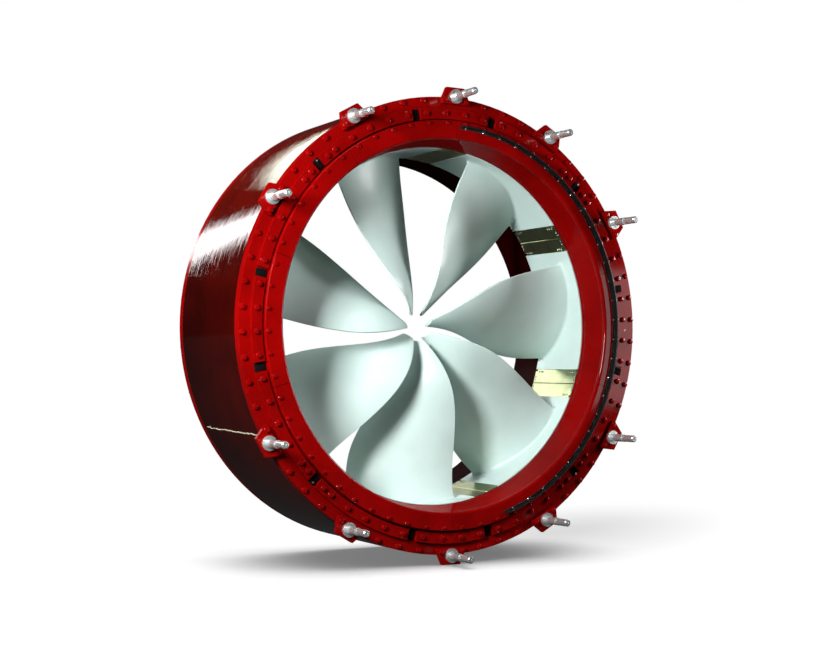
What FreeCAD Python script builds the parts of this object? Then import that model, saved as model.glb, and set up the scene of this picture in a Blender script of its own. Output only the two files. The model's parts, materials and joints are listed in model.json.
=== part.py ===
import FreeCAD, Part
import math
import os
import re
import Sketcher

# Rim driven tunnel thruster. The axis is Y, the front faces -Y and +Z is up.
# Depths are measured along +Y from the plane of the stud shoulders.

doc = FreeCAD.newDocument("RimThruster")
origin = FreeCAD.Vector(0, 0, 0)
axis_y = FreeCAD.Vector(0, 1, 0)

# Every driving size, in millimetres or degrees.
sizes = {
    # clearances
    "fit_gap": 0.3, "seam_angle": 0.12,
    # bore and nozzles, as radii and walls from the bore outwards
    "bore_radius": 746.5, "nozzle_step": 2.5, "outlet_step": 2, "outlet_round": 12,
    "throat_flare": 18, "nozzle_wall": 16, "nozzle_tail": 20.7, "nozzle_gap": 3,
    # inlet lip
    "lip_count": 10, "lip_depth": 14, "lip_round": 11, "lip_width": 76.5, "lip_chamfer": 3,
    "lip_recess": 17, "lip_gap": 6.2,
    # raised clamp ring
    "clamp_width": 46, "clamp_rise": 14, "clamp_short_span": 24, "clamp_gap": 2.6,
    # housing
    "shell_wall": 24, "flange_thick": 40, "cover_thick": 40, "rear_chamber": 95,
    "front_space": 76, "rear_space": 54, "nozzle_shoulder": 43,
    # rotor
    "foot_thick": 21.4, "rotor_wall": 21.8, "rotor_length": 320, "journal_length": 42,
    "magnet_thick": 14, "magnet_angle": 5.4, "magnet_count": 56, "sleeve_wall": 4,
    # stator
    "air_gap": 3.7, "can_wall": 3, "can_inset": 2, "core_depth": 103.4, "core_inset": 3,
    "winding_length": 38, "winding_start": 10.7, "winding_thick": 62,
    # bearings
    "pad_radial_thick": 12, "pad_axial_thick": 12, "pad_count": 18, "pad_angle": 14,
    "pad_inset": 2, "pad_margin": 1, "carrier_base": 20,
    # blades
    "blade_count": 7, "blade_phase": 58.5, "blade_edge": 6, "blade_overlap": 8, "root_round": 13,
    "strip_angle": 4.95, "foot_clearance": 0.03,
    # studs and lugs
    "stud_pitch": 30, "stud_overhang": 2, "stud_radius": 15.9, "stud_length": 146,
    "stud_disc_radius": 29.5, "stud_disc_thick": 9, "stud_groove_start": 70,
    "stud_groove_width": 7, "stud_groove_cut": 2.7, "stud_collar": 5, "stud_end_cut": 1.2,
    "stud_chamfer": 4, "stud_centre_radius": 4.5, "stud_centre_depth": 9,
    "lug_thick": 19, "lug_inside": 32, "lug_shoulder": 15, "lug_overhang": 37,
    "lug_base": 130, "lug_top": 84,
    # bolts
    "bolt_count": 60, "bolt_flats": 20.6, "bolt_head": 9, "flange_bolt_inset": 13.5,
    "clamp_bolt_inset": 24.6, "clamp_bolt_aside": 3.2, "lip_bolt_inset": 11,
    "lip_bolt_flats": 15, "lip_bolt_head": 6.5,
    # seal strip
    "strip_inset": 25.5, "strip_wall": 4.7, "strip_height": 25, "strip_foot": 8,
    "strip_foot_thick": 2, "strip_arc": 161, "strip_centre": 8.3,
    # junction box
    "box_length": 150, "box_width": 190, "box_height": 62, "box_cover": 10, "box_sink": 8,
    "box_inset": 53, "gland_radius": 19, "gland_bore": 9.5, "gland_length": 34,
    "gland_taper": 3.8, "gland_taper_length": 13.6, "gland_pitch": 58, "gland_count": 3,
    "gland_rise": 32,
}

# Radii and depths that follow from the driving sizes.
places = {
    # radii, from the bore outwards
    "nozzle_exit": "bore_radius + nozzle_step",
    "outlet_radius": "nozzle_exit + outlet_step",
    "throat_radius": "nozzle_exit + throat_flare",
    "flange_bore": "throat_radius + nozzle_wall + fit_gap",
    "carrier_bore": "nozzle_exit + nozzle_tail + fit_gap",
    "foot_radius": "bore_radius + foot_thick",
    "rotor_bore": "foot_radius + fit_gap",
    "rotor_outer": "rotor_bore + rotor_wall",
    "pad_outer": "rotor_outer + fit_gap + pad_radial_thick",
    "magnet_outer": "rotor_outer + magnet_thick",
    "sleeve_outer": "magnet_outer + fit_gap + sleeve_wall",
    "can_bore": "sleeve_outer + air_gap",
    "core_inner": "can_bore + can_wall + fit_gap",
    "core_outer": "core_inner + core_depth",
    "winding_inner": "core_inner + winding_start",
    "shell_bore": "core_outer + fit_gap",
    "flange_radius": "shell_bore + shell_wall",
    # radii of the front face
    "lip_radius": "throat_radius + lip_width",
    "lip_seat_radius": "lip_radius + lip_gap",
    "clamp_inner": "lip_seat_radius + fit_gap",
    "clamp_bolt_circle": "clamp_inner + clamp_bolt_inset",
    "flange_bolt_circle": "flange_radius - flange_bolt_inset",
    "lip_bolt_circle": "lip_radius - lip_bolt_inset",
    "stud_circle": "flange_radius + stud_overhang",
    "strip_inner": "lip_radius - strip_inset",
    # depths, from front to back
    "flange_face": "stud_disc_thick + lug_thick",
    "clamp_face": "flange_face - clamp_rise",
    "lip_seat_depth": "flange_face + lip_recess",
    "flange_back": "flange_face + flange_thick",
    "can_front": "flange_back + carrier_base + can_inset",
    "rotor_front": "flange_back + front_space",
    "rotor_middle": "rotor_front + rotor_length / 2",
    "rotor_back": "rotor_front + rotor_length",
    "core_front": "rotor_front + journal_length + core_inset",
    "core_back": "rotor_back - journal_length - core_inset",
    "can_back": "rotor_back + rear_space",
    "shell_back": "can_back + carrier_base + rear_chamber",
    "cover_back": "shell_back + cover_thick",
    "shoulder_depth": "shell_back - nozzle_shoulder",
    "box_back": "cover_back - box_inset",
    # studs and box
    "stud_groove_end": "stud_groove_start + stud_groove_width",
    "stud_end_start": "stud_groove_end + stud_collar",
    "stud_end_radius": "stud_radius - stud_end_cut",
    "box_lid_rise": "box_height - box_cover",
}

# Blade edges at each section, from the tip to the root. Each section lies its drop inside the bore,
# its depths are measured from the middle of the rotor, and across is positive counterclockwise,
# seen from the front.
blade_sections = [
    {"drop": 686.5, "lead_across": 27, "lead_depth": -22, "trail_across": -2, "trail_depth": 42,
     "thick": 13, "camber": 3},
    {"drop": 626.5, "lead_across": 57, "lead_depth": -82, "trail_across": -16, "trail_depth": 29,
     "thick": 16, "camber": 9},
    {"drop": 536.5, "lead_across": 101, "lead_depth": -126, "trail_across": -49, "trail_depth": 40,
     "thick": 19, "camber": 19},
    {"drop": 426.5, "lead_across": 144, "lead_depth": -124, "trail_across": -102, "trail_depth": 84,
     "thick": 22, "camber": 28},
    {"drop": 306.5, "lead_across": 172, "lead_depth": -100, "trail_across": -157, "trail_depth": 130,
     "thick": 27, "camber": 34},
    {"drop": 186.5, "lead_across": 189, "lead_depth": -78, "trail_across": -194, "trail_depth": 148,
     "thick": 35, "camber": 36},
    {"drop": 86.5, "lead_across": 200, "lead_depth": -76, "trail_across": -208, "trail_depth": 132,
     "thick": 50, "camber": 32},
    {"drop": 6.5, "lead_across": 212, "lead_depth": -88, "trail_across": -214, "trail_depth": 104,
     "thick": 76, "camber": 26},
    {"drop": -53.5, "lead_across": 222, "lead_depth": -100, "trail_across": -220, "trail_depth": 92,
     "thick": 104, "camber": 20},
]
blade_stations = (0.0, 0.08, 0.25, 0.5, 0.75, 0.92, 1.0)
blade_fullness = 0.7


def section_letter(number):
    return "abcdefghijklm"[number - 1]


for number, section in enumerate(blade_sections, start=1):
    for part_of_section, amount in section.items():
        sizes[f"blade_{part_of_section}_{section_letter(number)}"] = amount

sheet = doc.addObject("Spreadsheet::Sheet", "Sizes")
for row, (alias, amount) in enumerate(sizes.items(), start=1):
    sheet.set(f"A{row}", alias)
    sheet.set(f"B{row}", str(amount))
    sheet.setAlias(f"B{row}", alias)
doc.recompute()

name_pattern = re.compile(r"[a-z][a-z_]*[a-z]")
near = 0.05
quarter_angles = (0, 90, 180, 270)
nodes = []


def bound(text):
    """The expression that reads each named size from the sheet, with each place worked out."""
    def read(found):
        name = found.group(0)
        return "(" + bound(places[name]) + ")" if name in places else "Sizes." + name
    return name_pattern.sub(read, text)


def value(text):
    """The number that a sum of named sizes, places and plain numbers comes to."""
    total = 0.0
    for sign, term in re.findall(r"([+-]?)\s*([^+-]+)", text):
        amount = 1.0
        for operator, factor in re.findall(r"([*/]?)\s*([^*/\s]+)", term):
            if factor in places:
                number = value(places[factor])
            else:
                number = sizes[factor] if factor in sizes else float(factor)
            amount = amount / number if operator == "/" else amount * number
        total += -amount if sign == "-" else amount
    return total


def turned(angle):
    """Placement that carries +X round to an angle seen from the front, towards +Z."""
    return FreeCAD.Placement(origin, FreeCAD.Rotation(axis_y, -angle))


def add_body(label, angle=0.0, keep=True):
    body = doc.addObject("PartDesign::Body", label)
    body.Label = label
    body.Placement = turned(angle)
    if keep:
        nodes.append(body)
    return body


def plane(body, role):
    return next(item for item in body.Origin.OriginFeatures if item.Role == role)


def add_sketch(body, name, role="XY_Plane"):
    sketch = body.newObject("Sketcher::SketchObject", name)
    sketch.AttachmentSupport = [(plane(body, role), "")]
    sketch.MapMode = "FlatFace"
    return sketch


def draw_outline(sketch, corners):
    """Closed outline of straight lines whose corners are bound to the sheet."""
    points = [FreeCAD.Vector(value(across), value(along), 0) for across, along in corners]
    count = len(points)
    for index in range(count):
        sketch.addGeometry(Part.LineSegment(points[index], points[(index + 1) % count]), False)
    for index in range(count):
        sketch.addConstraint(
            Sketcher.Constraint("Coincident", index, 2, (index + 1) % count, 1))
    for index, (across, along) in enumerate(corners):
        for kind, text, place in (("DistanceX", across, points[index].x),
                                  ("DistanceY", along, points[index].y)):
            number = sketch.addConstraint(Sketcher.Constraint(kind, -1, 1, index, 1, place))
            sketch.setExpression(f"Constraints[{number}]", bound(text))


def revolve(body, name, corners, angle=None):
    """Turn an outline of (radius, depth) corners about the axis, fully or as a centred sector."""
    sketch = add_sketch(body, name + "_sketch")
    draw_outline(sketch, corners)
    feature = body.newObject("PartDesign::Revolution", name)
    feature.Profile = sketch
    feature.ReferenceAxis = (sketch, ["V_Axis"])
    feature.Angle = 360
    if angle is not None:
        feature.Midplane = True
        feature.setExpression("Angle", bound(angle))
    body.Tip = feature
    return feature


def ring(label, corners):
    body = add_body(label)
    revolve(body, label + "_ring", corners)
    return body


def sector(label, corners, angle, centre, keep=True):
    body = add_body(label, centre, keep)
    revolve(body, label + "_sector", corners, angle)
    return body


def repeat_round(body, feature, count):
    """Repeat a feature evenly round the thruster's axis."""
    pattern = body.newObject("PartDesign::PolarPattern", body.Label + "_pattern")
    pattern.Originals = [feature]
    pattern.Axis = (plane(body, "Y_Axis"), [""])
    pattern.Angle = 360
    pattern.setExpression("Occurrences", bound(count))
    body.Tip = pattern
    return pattern


def points_along(edge):
    """The ends and the middle of an edge, each as a radius and a depth."""
    first, last = edge.ParameterRange
    places_along = (edge.valueAt(first + (last - first) * share) for share in (0, 0.5, 1))
    return [(math.hypot(point.x, point.z), point.y) for point in places_along]


def round_edges(body, radius, chosen):
    """Fillet the edges whose points along them all pass a test."""
    tip = body.Tip
    names = [f"Edge{number}" for number, edge in enumerate(tip.Shape.Edges, start=1)
             if all(chosen(*point) for point in points_along(edge))]
    fillet = body.newObject("PartDesign::Fillet", body.Label + "_round")
    fillet.Base = (tip, names)
    fillet.setExpression("Radius", bound(radius))
    body.Tip = fillet
    return fillet


def box_section(inner, outer, front, back):
    return [(inner, front), (outer, front), (outer, back), (inner, back)]


def gather(label, parts):
    """Several loose solids that share one node."""
    group = doc.addObject("Part::Compound", label)
    group.Label = label
    group.Links = parts
    nodes.append(group)
    return group


# Housing

def make_shell():
    ring("housing_shell", box_section("shell_bore", "flange_radius", "flange_back", "shell_back"))


def make_front_flange():
    ring("front_flange", [
        ("flange_bore", "lip_seat_depth"), ("lip_seat_radius", "lip_seat_depth"),
        ("lip_seat_radius", "flange_face"), ("flange_radius", "flange_face"),
        ("flange_radius", "flange_back"), ("flange_bore", "flange_back")])


def make_rear_cover():
    ring("rear_cover", [
        ("flange_bore", "shell_back"), ("flange_radius", "shell_back"),
        ("flange_radius", "cover_back - lip_chamfer"),
        ("flange_radius - lip_chamfer", "cover_back"), ("flange_bore", "cover_back")])


def make_front_nozzle():
    ring("front_nozzle", [
        ("throat_radius", "lip_depth"),
        ("flange_bore - fit_gap", "lip_depth"),
        ("flange_bore - fit_gap", "flange_back"),
        ("carrier_bore - fit_gap", "flange_back"),
        ("carrier_bore - fit_gap", "rotor_front - nozzle_gap"),
        ("nozzle_exit", "rotor_front - nozzle_gap")])


def make_rear_nozzle():
    ring("rear_nozzle", [
        ("nozzle_exit", "rotor_back + nozzle_gap"),
        ("carrier_bore - fit_gap", "rotor_back + nozzle_gap"),
        ("carrier_bore - fit_gap", "shoulder_depth"),
        ("flange_bore - fit_gap", "shoulder_depth"),
        ("flange_bore - fit_gap", "cover_back"),
        ("outlet_radius + outlet_round", "cover_back"),
        ("outlet_radius", "cover_back - outlet_round")])


def make_lip_segments():
    """Ring of inlet lip segments, each with a rounded inner corner."""
    corners = [
        ("throat_radius", "lip_depth"),
        ("throat_radius", "0"),
        ("lip_radius - lip_chamfer", "0"),
        ("lip_radius", "lip_chamfer"),
        ("lip_radius", "lip_seat_depth"),
        ("flange_bore", "lip_seat_depth"),
        ("flange_bore", "lip_depth")]
    count = int(sizes["lip_count"])
    segments = [sector(f"lip_segment_{index + 1}", corners, "360 / lip_count - seam_angle",
                       index * 360 / count) for index in range(count)]
    doc.recompute()
    throat = value("throat_radius")
    for segment in segments:
        round_edges(segment, "lip_round",
                    lambda radius, depth: abs(radius - throat) < near and abs(depth) < near)


def long_middle():
    """Angle from the middle of a short clamp segment to the middle of the long one beside it."""
    return value("clamp_short_span / 4") + 22.5


def clamp_gap_angles():
    half = value("clamp_short_span / 2")
    return [middle + turn for middle in quarter_angles for turn in (-half, half, 45)]


def make_clamp_segments():
    """Raised clamp ring: four short segments, and a long one each side of each short one."""
    section = box_section("clamp_inner", "clamp_inner + clamp_width", "clamp_face", "flange_face")
    short = []
    long = []
    for index, middle in enumerate(quarter_angles, start=1):
        short.append(sector(f"short_segment_{index}", section, "clamp_short_span - clamp_gap",
                            middle, False))
        for side, angle in (("left", middle + long_middle()), ("right", middle - long_middle())):
            long.append(sector(f"long_segment_{side}_{index}", section,
                               "45 - clamp_short_span / 2 - clamp_gap", angle, False))
    gather("clamp_segments_short", short)
    gather("clamp_segments_long", long)


# Studs, lugs and bolts

def stud_angles():
    pitch = sizes["stud_pitch"]
    every = [index * pitch for index in range(round(360 / pitch))]
    return [angle for angle in every if angle % 180 != 0]


def make_lugs():
    for index, angle in enumerate(stud_angles(), start=1):
        body = add_body(f"mounting_lug_{index}", angle)
        sketch = add_sketch(body, f"lug_outline_{index}", "XZ_Plane")
        sketch.setExpression("AttachmentOffset.Base.z", "-" + bound("flange_face"))
        draw_outline(sketch, [
            ("stud_circle - lug_inside", "0 - lug_base / 2"),
            ("stud_circle - lug_shoulder", "0 - lug_base / 2"),
            ("stud_circle + lug_overhang", "0 - lug_top / 2"),
            ("stud_circle + lug_overhang", "lug_top / 2"),
            ("stud_circle - lug_shoulder", "lug_base / 2"),
            ("stud_circle - lug_inside", "lug_base / 2")])
        pad = body.newObject("PartDesign::Pad", f"lug_plate_{index}")
        pad.Profile = sketch
        pad.setExpression("Length", bound("lug_thick"))
        body.Tip = pad


def make_studs():
    """Shouldered studs with a groove, a thinner end and a centre hole."""
    studs = []
    for index, angle in enumerate(stud_angles(), start=1):
        stud = add_body(f"stud_{index}", angle, keep=False)
        sketch = add_sketch(stud, f"stud_outline_{index}")
        sketch.setExpression("AttachmentOffset.Base.x", bound("stud_circle"))
        draw_outline(sketch, [
            ("0", "stud_disc_thick"), ("stud_disc_radius", "stud_disc_thick"),
            ("stud_disc_radius", "0"),
            ("stud_radius", "0"), ("stud_radius", "0 - stud_groove_start"),
            ("stud_radius - stud_groove_cut", "0 - stud_groove_start"),
            ("stud_radius - stud_groove_cut", "0 - stud_groove_end"),
            ("stud_radius", "0 - stud_groove_end"),
            ("stud_radius", "0 - stud_end_start"), ("stud_end_radius", "0 - stud_end_start"),
            ("stud_end_radius", "stud_chamfer - stud_length"),
            ("stud_end_radius - stud_chamfer", "0 - stud_length"),
            ("stud_centre_radius", "0 - stud_length"),
            ("0", "stud_centre_depth - stud_length")])
        turn = stud.newObject("PartDesign::Revolution", f"stud_turn_{index}")
        turn.Profile = sketch
        turn.ReferenceAxis = (sketch, ["V_Axis"])
        turn.Angle = 360
        stud.Tip = turn
        studs.append(stud)
    gather("mounting_studs", studs)


def add_hex_head(name, angle, circle, flats, height, seat, towards_front=True):
    """A hexagon head that sits face to face on its seat."""
    head = doc.addObject("Part::Prism", name)
    head.Polygon = 6
    head.setExpression("Circumradius", bound(flats + " / 2") + " / cos(30)")
    head.setExpression("Height", bound(height))
    around = turned(angle)
    lean = FreeCAD.Rotation(FreeCAD.Vector(1, 0, 0), 90 if towards_front else -90)
    place = FreeCAD.Vector(value(circle), value(seat), 0)
    head.Placement = around.multiply(FreeCAD.Placement(place, lean))
    return head


def bolt_angles(count):
    pitch = 360 / count
    return [(index + 0.5) * pitch for index in range(int(count))]


def degrees_at(width, radius):
    """The angle that a width takes up at a radius."""
    return math.degrees(value(width) / value(radius))


def make_flange_bolts():
    on_lug = degrees_at("lug_base / 2", "flange_bolt_circle")
    heads = []
    for index, angle in enumerate(bolt_angles(sizes["bolt_count"]), start=1):
        near_lug = any(abs(angle - lug) < on_lug for lug in stud_angles())
        seat = "stud_disc_thick" if near_lug else "flange_face"
        heads.append(add_hex_head(f"flange_bolt_{index}", angle, "flange_bolt_circle",
                                  "bolt_flats", "bolt_head", seat))
    gather("flange_bolts", heads)


def clamp_bolt_angles():
    """Evenly spaced bolts, and a pair beside each gap that would fall on a bolt."""
    reach = sizes["clamp_gap"] / 2 + degrees_at("bolt_flats / 2", "clamp_bolt_circle")
    aside = sizes["clamp_bolt_aside"]
    angles = []
    for angle in bolt_angles(sizes["bolt_count"]):
        gaps = [gap for gap in clamp_gap_angles() if abs((angle - gap + 180) % 360 - 180) < reach]
        angles += [gaps[0] - aside, gaps[0] + aside] if gaps else [angle]
    return angles


def make_clamp_bolts():
    heads = [add_hex_head(f"clamp_bolt_{index}", angle, "clamp_bolt_circle",
                          "bolt_flats", "bolt_head", "clamp_face")
             for index, angle in enumerate(clamp_bolt_angles(), start=1)]
    gather("clamp_bolts", heads)


def make_lip_bolts():
    """Smaller bolts that hold the lip segments, in line with the flange bolts."""
    heads = [add_hex_head(f"lip_bolt_{index}", angle, "lip_bolt_circle",
                          "lip_bolt_flats", "lip_bolt_head", "0")
             for index, angle in enumerate(bolt_angles(sizes["bolt_count"]), start=1)]
    gather("lip_bolts", heads)


def make_rear_bolts():
    """Half as many bolts as on the front flange."""
    heads = [add_hex_head(f"rear_bolt_{index}", angle, "flange_bolt_circle",
                          "bolt_flats", "bolt_head", "cover_back", False)
             for index, angle in enumerate(bolt_angles(sizes["bolt_count"] / 2), start=1)]
    gather("rear_cover_bolts", heads)


def make_seal_strip():
    sector("seal_strip", [
        ("strip_inner - strip_foot", "0 - strip_foot_thick"),
        ("strip_inner", "0 - strip_foot_thick"), ("strip_inner", "0 - strip_height"),
        ("strip_inner + strip_wall", "0 - strip_height"), ("strip_inner + strip_wall", "0"),
        ("strip_inner - strip_foot", "0")], "strip_arc", sizes["strip_centre"])


# Motor

def make_stator():
    """Core, its two winding ends and the thin can that keeps the water out."""
    ring("stator_core", box_section("core_inner", "core_outer", "core_front", "core_back"))
    ends = []
    for side, front, back in (("front", "core_front - winding_length", "core_front"),
                              ("back", "core_back", "core_back + winding_length")):
        end = add_body(f"winding_{side}", keep=False)
        revolve(end, f"winding_{side}_ring", box_section(
            "winding_inner", "winding_inner + winding_thick", front, back))
        ends.append(end)
    gather("stator_windings", ends)
    ring("stator_can", box_section("can_bore", "can_bore + can_wall", "can_front", "can_back"))


def make_bearings():
    """Carriers that seat in the shell and the can, and the water lubricated pads on them."""
    front_pad = "rotor_front - fit_gap - pad_axial_thick"
    back_pad = "rotor_back + fit_gap + pad_axial_thick"
    ring("front_bearing_carrier", [
        ("carrier_bore", "flange_back"), ("shell_bore - fit_gap", "flange_back"),
        ("shell_bore - fit_gap", "flange_back + carrier_base"),
        ("can_bore - fit_gap", "flange_back + carrier_base"),
        ("can_bore - fit_gap", "rotor_front + journal_length"),
        ("pad_outer", "rotor_front + journal_length"), ("pad_outer", front_pad),
        ("carrier_bore", front_pad)])
    ring("rear_bearing_carrier", [
        ("carrier_bore", back_pad), ("pad_outer", back_pad),
        ("pad_outer", "rotor_back - journal_length"),
        ("can_bore - fit_gap", "rotor_back - journal_length"),
        ("can_bore - fit_gap", "can_back"), ("shell_bore - fit_gap", "can_back"),
        ("shell_bore - fit_gap", "can_back + carrier_base"),
        ("carrier_bore", "can_back + carrier_base")])
    axial = ("carrier_bore + pad_margin", "rotor_outer - pad_margin")
    radial = ("rotor_outer + fit_gap", "pad_outer")
    pads = (
        ("front_thrust_pads", axial, front_pad, "rotor_front - fit_gap"),
        ("rear_thrust_pads", axial, "rotor_back + fit_gap", back_pad),
        ("front_radial_pads", radial, "rotor_front + pad_inset",
         "rotor_front + journal_length - pad_inset"),
        ("rear_radial_pads", radial, "rotor_back - journal_length + pad_inset",
         "rotor_back - pad_inset"))
    for label, (inside, outside), front, back in pads:
        body = add_body(label)
        body.AllowCompound = True
        pad = revolve(body, label + "_pad", box_section(inside, outside, front, back),
                      "pad_angle")
        repeat_round(body, pad, "pad_count")


def make_rotor():
    """Rotor ring with its magnets and the sleeve that holds them."""
    ring("rotor_ring", box_section("rotor_bore", "rotor_outer", "rotor_front", "rotor_back"))
    magnets = add_body("rotor_magnets")
    magnets.AllowCompound = True
    first = revolve(magnets, "rotor_magnet", box_section(
        "rotor_outer", "magnet_outer", "core_front", "core_back"), "magnet_angle")
    repeat_round(magnets, first, "magnet_count")
    ring("magnet_sleeve", box_section(
        "magnet_outer + fit_gap", "sleeve_outer", "core_front", "core_back"))


# Blades

def section_sides(number):
    """The two faces of an aerofoil section, each from the leading to the trailing edge.
    The sketch's own first axis points clockwise, seen from the front."""
    key = section_letter(number)
    lead = FreeCAD.Vector(-sizes[f"blade_lead_across_{key}"],
                          sizes[f"blade_lead_depth_{key}"], 0)
    trail = FreeCAD.Vector(-sizes[f"blade_trail_across_{key}"],
                           sizes[f"blade_trail_depth_{key}"], 0)
    edge = sizes["blade_edge"]
    extra = sizes[f"blade_thick_{key}"] - edge
    camber = sizes[f"blade_camber_{key}"]
    chord = trail - lead
    across = FreeCAD.Vector(chord.y, -chord.x, 0).normalize()
    sides = ([], [])
    for station in blade_stations:
        bulge = 4 * station * (1 - station)
        middle = lead + chord * station + across * (camber * bulge)
        half = (edge + extra * bulge ** blade_fullness) / 2
        sides[0].append(middle + across * half)
        sides[1].append(middle - across * half)
    return sides


def make_blade(index):
    """Blade lofted through its sections, inside the foot."""
    count = sizes["blade_count"]
    body = add_body(f"blade_{index}", sizes["blade_phase"] + (index - 1) * 360 / count - 90)
    sketches = []
    for number in range(1, len(blade_sections) + 1):
        sketch = add_sketch(body, f"blade_{index}_section_{number}")
        drop = f"blade_drop_{section_letter(number)}"
        sketch.setExpression("AttachmentOffset.Base.y", bound("rotor_middle"))
        sketch.setExpression("AttachmentOffset.Base.z", bound("bore_radius - " + drop))
        sides = section_sides(number)
        for side in sides:
            curve = Part.BSplineCurve()
            curve.interpolate(side)
            sketch.addGeometry(curve, False)
        for end in (0, -1):
            sketch.addGeometry(Part.LineSegment(sides[0][end], sides[1][end]), False)
        sketches.append(sketch)
    loft = body.newObject("PartDesign::AdditiveLoft", f"blade_{index}_loft")
    loft.Profile = sketches[0]
    loft.Sections = sketches[1:]
    loft.Ruled = False
    body.Tip = loft
    return body


def add_foot(body, index):
    """Trim the blade within its foot, which fills its share of the rotor bore."""
    outline = add_sketch(body, f"blade_{index}_trim_outline")
    draw_outline(outline, box_section("bore_radius + blade_overlap", "bore_radius * 2",
                                      "0", "cover_back"))
    trim = body.newObject("PartDesign::Groove", f"blade_{index}_trim")
    trim.Profile = outline
    trim.ReferenceAxis = (outline, ["V_Axis"])
    trim.Angle = 360
    body.Tip = trim
    foot_outline = add_sketch(body, f"blade_{index}_foot_outline", "YZ_Plane")
    draw_outline(foot_outline, [
        ("rotor_front", "bore_radius"), ("rotor_back", "bore_radius"),
        ("rotor_back", "foot_radius"), ("rotor_front", "foot_radius")])
    foot = body.newObject("PartDesign::Revolution", f"blade_{index}_foot")
    foot.Profile = foot_outline
    foot.ReferenceAxis = (foot_outline, ["H_Axis"])
    foot.Midplane = True
    foot.setExpression("Angle", bound(
        "360 / blade_count - strip_angle * 2 - seam_angle - foot_clearance * 2"))
    body.Tip = foot


def make_blades():
    blades = [make_blade(index) for index in range(1, int(sizes["blade_count"]) + 1)]
    for index, blade in enumerate(blades, start=1):
        add_foot(blade, index)
    doc.recompute()
    bore = value("bore_radius")
    front = value("rotor_front")
    back = value("rotor_back")
    for blade in blades:
        round_edges(blade, "root_round", lambda radius, depth:
                    abs(radius - bore) < near and front + near < depth < back - near)


def make_clamp_strips():
    """A pair of strips in each gap between two blade feet."""
    count = int(sizes["blade_count"])
    step = 360 / count
    strips = []
    for index in range(count):
        middle = sizes["blade_phase"] + (index + 0.5) * step
        lean = value("strip_angle / 2 + seam_angle / 2")
        for side, angle in (("left", middle + lean), ("right", middle - lean)):
            strip = add_body(f"blade_strip_{side}_{index + 1}", angle, keep=False)
            revolve(strip, f"strip_{side}_{index + 1}", box_section(
                "bore_radius", "foot_radius", "rotor_front", "rotor_back"), "strip_angle")
            strips.append(strip)
    gather("blade_clamp_strips", strips)


# Junction box on the hidden side

def make_junction_box():
    for label, low, high in (
            ("junction_box", "0 - box_sink", "box_lid_rise"),
            ("junction_box_cover", "box_lid_rise", "box_height")):
        block = doc.addObject("Part::Box", label + "_block")
        block.setExpression("Length", bound(high) + " - (" + bound(low) + ")")
        block.setExpression("Width", bound("box_length"))
        block.setExpression("Height", bound("box_width"))
        block.setExpression("Placement.Base.x", bound("flange_radius + " + low))
        block.setExpression("Placement.Base.y", bound("box_back - box_length"))
        block.setExpression("Placement.Base.z", "-" + bound("box_width / 2"))
        if label == "junction_box_cover":
            block.Label = label
            nodes.append(block)
            continue
        barrel = doc.addObject("Part::Cylinder", "shell_outline")
        barrel.setExpression("Radius", bound("flange_radius + fit_gap"))
        barrel.setExpression("Height", bound("cover_back"))
        barrel.Placement = FreeCAD.Placement(origin, FreeCAD.Rotation(FreeCAD.Vector(1, 0, 0), -90))
        saddle = doc.addObject("Part::Cut", label)
        saddle.Base = block
        saddle.Tool = barrel
        saddle.Label = label
        nodes.append(saddle)
    glands = []
    for index in range(int(sizes["gland_count"])):
        gland = add_body(f"gland_{index + 1}", keep=False)
        shift = index - (sizes["gland_count"] - 1) / 2
        sketch = add_sketch(gland, f"gland_outline_{index + 1}")
        sketch.setExpression("AttachmentOffset.Base.x", bound("flange_radius + gland_rise"))
        sketch.setExpression("AttachmentOffset.Base.y", bound("box_back"))
        sketch.setExpression("AttachmentOffset.Base.z", f"{shift} * " + bound("gland_pitch"))
        draw_outline(sketch, [
            ("gland_bore", "0"), ("gland_radius", "0"),
            ("gland_radius", "gland_length - gland_taper_length"),
            ("gland_radius - gland_taper", "gland_length"), ("gland_bore", "gland_length")])
        turn = gland.newObject("PartDesign::Revolution", f"gland_turn_{index + 1}")
        turn.Profile = sketch
        turn.ReferenceAxis = (sketch, ["V_Axis"])
        turn.Angle = 360
        gland.Tip = turn
        glands.append(gland)
    gather("cable_glands", glands)


make_shell()
make_front_flange()
make_rear_cover()
make_front_nozzle()
make_rear_nozzle()
make_lip_segments()
make_clamp_segments()
make_lugs()
make_studs()
make_flange_bolts()
make_clamp_bolts()
make_lip_bolts()
make_rear_bolts()
make_seal_strip()
make_stator()
make_bearings()
make_rotor()
make_blades()
make_clamp_strips()
make_junction_box()

doc.recompute()

faults = [item.Label for item in doc.Objects if {"Invalid", "Error"} & set(item.State)]
faults += [item.Label for item in nodes if item.Shape.isNull() or not item.Shape.isValid()]
if faults:
    raise RuntimeError("these objects failed: " + ", ".join(faults))

os.makedirs("parts", exist_ok=True)
for node in nodes:
    node.Shape.exportStep(f"parts/{node.Label}.step")
    bounds = node.Shape.BoundBox
    print(f"{node.Label}: {len(node.Shape.Solids)} solids, {node.Shape.Volume / 1000:.0f} cm3, "
          f"Y {bounds.YMin:.1f} to {bounds.YMax:.1f}")
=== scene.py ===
import json
import math
import random
import bpy
from mathutils import Matrix, Vector


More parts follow.
